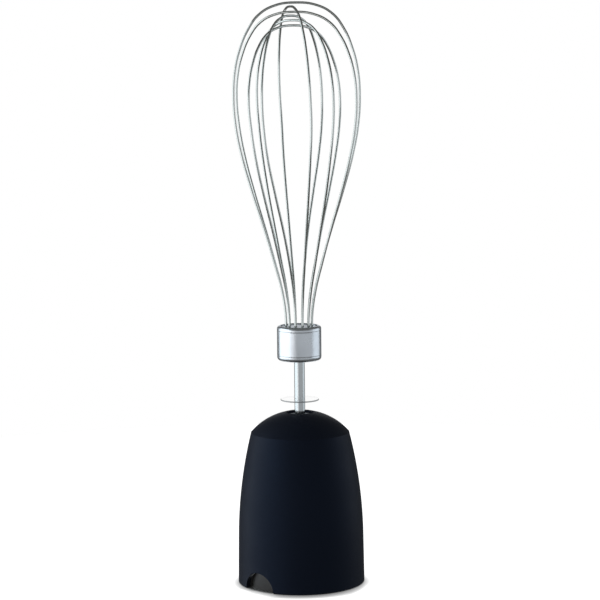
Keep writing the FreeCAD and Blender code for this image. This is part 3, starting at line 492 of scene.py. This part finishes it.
disc = {"radius": 7.87, "bottom": 75.5, "top": 76.1, "chamfer": 0.15, "hub": 2.6, "hubBottom": 75.15, "hubTop": 76.45,
        "edge": 0.05}
flat = disc["radius"] - disc["chamfer"]
discPiece = turn("splashDisc", [(stem["radius"], disc["hubBottom"]), (disc["hub"], disc["hubBottom"]),
                                (disc["hub"], disc["bottom"]), (flat, disc["bottom"]),
                                (disc["radius"], disc["bottom"] + disc["chamfer"]),
                                (disc["radius"], disc["top"] - disc["chamfer"]), (flat, disc["top"]),
                                (disc["hub"], disc["top"]), (disc["hub"], disc["hubTop"]),
                                (stem["radius"], disc["hubTop"])], 128)
softenEdges(discPiece, disc["edge"], 2)
smooth(discPiece)
finishPiece(discPiece, "whisk", clearDisc, ["splash_disc"])

# each groove is drawn as (depth in groove depths, rise), with a ring at either side that keeps the shading flat
cup = {"radius": 9.05, "bottom": 92.1, "top": 106.3, "wall": 0.7, "edge": 1.5, "lip": 1.2, "mouth": 7.5,
       "mouthEdge": 0.2, "mouthDrop": 0.15, "plugTop": 105.9, "groove": 0.07, "grooveGaps": (0.5, 0.9),
       "grooveSection": [(0, -0.1), (0, 0), (1, 0.12), (1, 0.2), (0, 0.32), (0, 0.42)]}


def makeFerrule():
    r, b, t, wall = cup["radius"], cup["bottom"], cup["top"], cup["wall"]
    outline = [(stem["radius"], b), (r - cup["edge"], b)]
    outline += arcBetween((r - cup["edge"], b), (r, b + cup["edge"]), cup["edge"], 6)
    for h in (b + cup["edge"] + cup["grooveGaps"][0], t - cup["lip"] - cup["grooveGaps"][1]):
        outline += [(r - depth * cup["groove"], h + rise) for depth, rise in cup["grooveSection"]]
    outline += [(r, t - cup["lip"])]
    outline += arcBetween((r, t - cup["lip"]), (r - cup["lip"], t), cup["lip"], 6)
    outline += [(cup["mouth"] + cup["mouthEdge"], t), (cup["mouth"], t - cup["mouthDrop"]),
                (cup["mouth"], cup["plugTop"]), (r - wall, cup["plugTop"]), (r - wall, b + wall),
                (stem["radius"], b + wall)]
    piece = turn("ferrule", outline, 160)
    smooth(piece, 40)
    finishPiece(piece, "whisk", ferruleSteel, ["ferrule"])


makeFerrule()

wire = {"radius": 0.5, "ring": 5.4, "foot": 96.5, "middle": 101.5, "bend": 106.3, "crownStart": 187.5, "top": 237.15}
plug = {"radius": 8.35, "bottom": 92.8, "top": 105.9, "dimples": 12, "dimpleFoot": 0.5, "dimpleMouth": 0.95,
        "dimpleDepth": 0.9, "dimpleHeight": 105.75}


def makePlug():
    # a plain plug with a cone dimple around the foot of each strand
    piece = addRod(plug["radius"], plug["bottom"], plug["top"], sides=128)
    piece.name = "ferrulePlug"
    for i in range(plug["dimples"]):
        spot = math.radians((i + 0.5) * 360 / plug["dimples"])
        deselectAll()
        bpy.ops.mesh.primitive_cone_add(vertices=32, radius1=plug["dimpleFoot"] * mm, radius2=plug["dimpleMouth"] * mm,
                                        depth=plug["dimpleDepth"] * mm,
                                        location=(wire["ring"] * math.cos(spot) * mm,
                                                  wire["ring"] * math.sin(spot) * mm, plug["dimpleHeight"] * mm))
        tool = bpy.context.object
        settle(tool)
        carve(piece, tool)
    smooth(piece, 30)
    finishPiece(piece, "whisk", plugSteel, ["ferrule_plug"])


makePlug()
print("stem, disc, ferrule and plug made")

# one side of a loop as (height, distance from the axis) in mm; the crown is scaled to each loop's apex
strand = [(113.0, 5.75), (122.0, 7.25), (131.5, 9.75), (146.2, 13.95), (160.8, 18.45), (175.4, 22.45),
          (187.5, 24.75), (199.7, 25.55), (210.5, 24.75), (219.1, 22.6), (226.6, 19.35), (232.5, 14.9), (236.0, 8.6)]
# azimuth at the ferrule, azimuth at the belly, lean at the belly, more lean at the apex, apex height, reach
loops = [(15.0, 4.0, 0.0, 0.0, 237.15, 1.0), (165.0, 159.6, 0.5, 1.4, 233.4, 1.01),
         (45.0, 45.0, 0.55, 1.3, 228.0, 1.02), (135.0, 126.2, 0.9, 1.0, 230.1, 1.025),
         (75.0, 61.8, 1.7, 0.75, 231.9, 1.0), (105.0, 103.8, 0.35, 2.0, 235.6, 1.015)]


def loopPoint(loop, height, reach, way):
    # a point of the loop: its plane turns from the foot's azimuth to the belly's, and leans sideways as it rises
    foot, belly, lean, crownLean, apex, factor = loop
    start = wire["crownStart"]
    t = min(1.0, max(0.0, (height - wire["bend"]) / (start - wire["bend"])))
    share = t * t * (3 - 2 * t)
    azimuth = math.radians(foot + (belly - foot) * share)
    crownShare = max(0.0, height - start) / (wire["top"] - start)
    if height > start:
        height = start + (height - start) * (apex - start) / (wire["top"] - start)
    along = way * reach * factor
    shift = lean * share + crownLean * crownShare
    return Vector((along * math.cos(azimuth) - shift * math.sin(azimuth),
                   along * math.sin(azimuth) + shift * math.cos(azimuth), height)) * mm


def makeLoop(number, loop):
    spot = math.radians(loop[0])
    # up one side, over the apex and down the other, with both feet sunk in the plug
    foot = [Vector((way * wire["ring"] * math.cos(spot), way * wire["ring"] * math.sin(spot), 0)) * mm
            for way in (-1, 1)]
    up = [Vector((0, 0, h * mm)) for h in (wire["foot"], wire["middle"], wire["bend"])]
    route = [foot[0] + h for h in up]
    route += [loopPoint(loop, h, r, -1) for h, r in strand]
    route.append(loopPoint(loop, wire["top"], 0.0, 1))
    route += [loopPoint(loop, h, r, 1) for h, r in reversed(strand)]
    route += [foot[1] + h for h in reversed(up)]
    deselectAll()
    bpy.ops.curve.primitive_bezier_curve_add(location=(0, 0, 0))
    piece = bpy.context.object
    piece.name = "wireLoop" + str(number)
    curve = piece.data
    curve.splines.clear()
    spline = curve.splines.new("BEZIER")
    spline.bezier_points.add(len(route) - 1)
    for point, place in zip(spline.bezier_points, route):
        point.co = place
        point.handle_left_type = "AUTO"
        point.handle_right_type = "AUTO"
    curve.dimensions = "3D"
    curve.resolution_u = 10
    curve.bevel_depth = wire["radius"] * mm
    curve.bevel_resolution = 4
    curve.use_fill_caps = True
    pick(piece)
    bpy.ops.object.convert(target="MESH")
    piece = bpy.context.object
    faceOutwards(piece)
    smooth(piece, 60)
    finishPiece(piece, "whisk", polishedWire, ["wire_loop_" + str(number)])


for number, loop in enumerate(loops):
    makeLoop(number + 1, loop)
print("wire loops made")

studio = {"floorRadius": 380, "floorGlow": 1.15, "floorColour": "#8E8E8C", "backdropRadius": 3000,
          "contact": 6.5, "sideContact": 3.2, "sideFrom": 20, "sideTo": 26, "leanBack": 0.94, "leanUp": 0.34,
          "contactPower": 2.0, "darkTo": 24.5, "lightFrom": 26.2, "drop": 0.02, "room": 0.13}


def makeStage():
    deselectAll()
    bpy.ops.mesh.primitive_circle_add(vertices=128, radius=studio["floorRadius"] * mm, fill_type="NGON",
                                      location=(0, 0, -studio["drop"] * mm))
    floor = bpy.context.object
    floor.name = "floor"
    # opal acrylic lit from below: a matt white sheet that glows, with a painted contact shadow, a soft dark line where
    # something stands on it
    m = newMaterial("opalAcrylicTable")
    # painted contact shadow: ambient occlusion, leaned as if the soft light came from above and behind, darkens the
    # table's glow mostly in front of what stands on it, and reaches less far at the sides
    lean = addNode(m, "ShaderNodeCombineXYZ", {"Y": studio["leanBack"], "Z": studio["leanUp"]})
    place = addNode(m, "ShaderNodeTexCoord")
    apart = addNode(m, "ShaderNodeSeparateXYZ", {}, {0: place.outputs["Object"]})
    aside = addNode(m, "ShaderNodeMath", {"operation": "ABSOLUTE"}, {0: apart.outputs["X"]})
    reach = addNode(m, "ShaderNodeMapRange",
                    {"From Min": studio["sideFrom"] * mm, "From Max": studio["sideTo"] * mm,
                     "To Min": studio["contact"] * mm, "To Max": studio["sideContact"] * mm},
                    {"Value": aside.outputs[0]})
    near = addNode(m, "ShaderNodeAmbientOcclusion", {"samples": 32},
                   {"Normal": lean.outputs[0], "Distance": reach.outputs[0]})
    paintedContactShadow = addNode(m, "ShaderNodeMath", {"operation": "POWER", 1: studio["contactPower"]}, {0: near.outputs["AO"]})
    # painted shade: the glow fades to nothing under the collar, by distance from the upright axis
    fromAxis = addNode(m, "ShaderNodeVectorMath", {"operation": "LENGTH"}, {0: place.outputs["Object"]})
    paintedShadeUnderCollar = addNode(m, "ShaderNodeMapRange",
                    {"From Min": studio["darkTo"] * mm, "From Max": studio["lightFrom"] * mm, "To Min": 0.0,
                     "To Max": studio["floorGlow"]}, {"Value": fromAxis.outputs["Value"]})
    glow = addNode(m, "ShaderNodeMath", {"operation": "MULTIPLY"}, {0: paintedContactShadow.outputs[0], 1: paintedShadeUnderCollar.outputs[0]})
    shader = addNode(m, "ShaderNodeBsdfPrincipled",
                     {"Base Color": linear(studio["floorColour"]), "Roughness": 0.9, "Specular IOR Level": 0.1,
                      "Emission Color": linear("#FFFFFF")}, {"Emission Strength": glow.outputs[0]})
    # the table is see-through from below, so that the mouth of the collar can be looked into
    facing = addNode(m, "ShaderNodeNewGeometry")
    clear = addNode(m, "ShaderNodeBsdfTransparent")
    oneSided = addNode(m, "ShaderNodeMixShader", {}, {0: facing.outputs["Backfacing"], 1: shader.outputs[0],
                                                      2: clear.outputs[0]})
    closeMaterial(m, oneSided)
    floor.data.materials.append(m)
    floor.visible_diffuse = False
    floor.visible_glossy = False
    deselectAll()
    bpy.ops.mesh.primitive_uv_sphere_add(segments=48, ring_count=24, radius=studio["backdropRadius"] * mm)
    backdrop = bpy.context.object
    backdrop.name = "backdrop"
    m = newMaterial("whiteSweep")
    glow = addNode(m, "ShaderNodeEmission", {"Color": (1, 1, 1, 1), "Strength": 1.0})
    closeMaterial(m, glow)
    backdrop.data.materials.append(m)
    backdrop.visible_diffuse = False
    backdrop.visible_glossy = False
    backdrop.visible_shadow = False


def softbox(name, bearing, distance, low, high, width, glow, colour):
    # a standing softbox: bearing in degrees from the camera's side, glow is its brightness against white
    lamp = bpy.data.lights.new(name, "AREA")
    lamp.shape = "RECTANGLE"
    lamp.size = width * mm
    lamp.size_y = (high - low) * mm
    lamp.energy = glow * math.pi * lamp.size * lamp.size_y
    lamp.color = linear(colour)[:3]
    holder = bpy.data.objects.new(name, lamp)
    bpy.context.scene.collection.objects.link(holder)
    angle = math.radians(bearing)
    holder.location = Vector((math.sin(angle) * distance, -math.cos(angle) * distance, (low + high) / 2)) * mm
    aim = Vector((0, 0, (low + high) / 2)) * mm
    holder.rotation_euler = (aim - holder.location).to_track_quat("-Z", "Y").to_euler()


makeStage()
# name, bearing, distance, low and high edge, width, glow, colour; lowBack lights the mouth for a view from below
softboxes = [("leftBox", -87, 800, -250, 800, 1200, 1.76, "#EEF6FF"),
             ("leftEdge", -38, 1150, -350, 300, 640, 1.25, "#F6F4FA"),
             ("frontFill", 26, 1150, -350, 300, 2350, 0.5, "#F2F5FF"),
             ("backStrip", 180, 1500, 190, 600, 650, 0.85, "#F6F9FF"),
             ("lowBack", 180, 900, -1050, -420, 900, 1.3, "#F6F9FF"),
             ("rightBox", 100, 850, -120, 480, 850, 1.12, "#E8EFFA")]
for settings in softboxes:
    softbox(*settings)

world = bpy.data.worlds.new("darkStudio")
bpy.context.scene.world = world
world.use_nodes = True
background = world.node_tree.nodes["Background"].inputs
background["Color"].default_value = [studio["room"]] * 3 + [1.0]
background["Strength"].default_value = 1.0

view = {"distance": 950.0, "height": 230.0, "pitch": 6.797, "roll": 0.58, "lens": 140.77, "sensor": 36.0, "side": 0.5,
        "clipEnd": 20.0}
cameraData = bpy.data.cameras.new("camera")
cameraData.lens = view["lens"]
cameraData.sensor_width = view["sensor"]
cameraData.clip_end = view["clipEnd"]
camera = bpy.data.objects.new("camera", cameraData)
bpy.context.scene.collection.objects.link(camera)
camera.location = (view["side"] * mm, -view["distance"] * mm, view["height"] * mm)
tilt = Matrix.Rotation(math.radians(90 - view["pitch"]), 3, "X")
camera.rotation_euler = (tilt @ Matrix.Rotation(math.radians(-view["roll"]), 3, "Z")).to_euler()
bpy.context.scene.camera = camera
bpy.context.scene.view_settings.view_transform = "Standard"
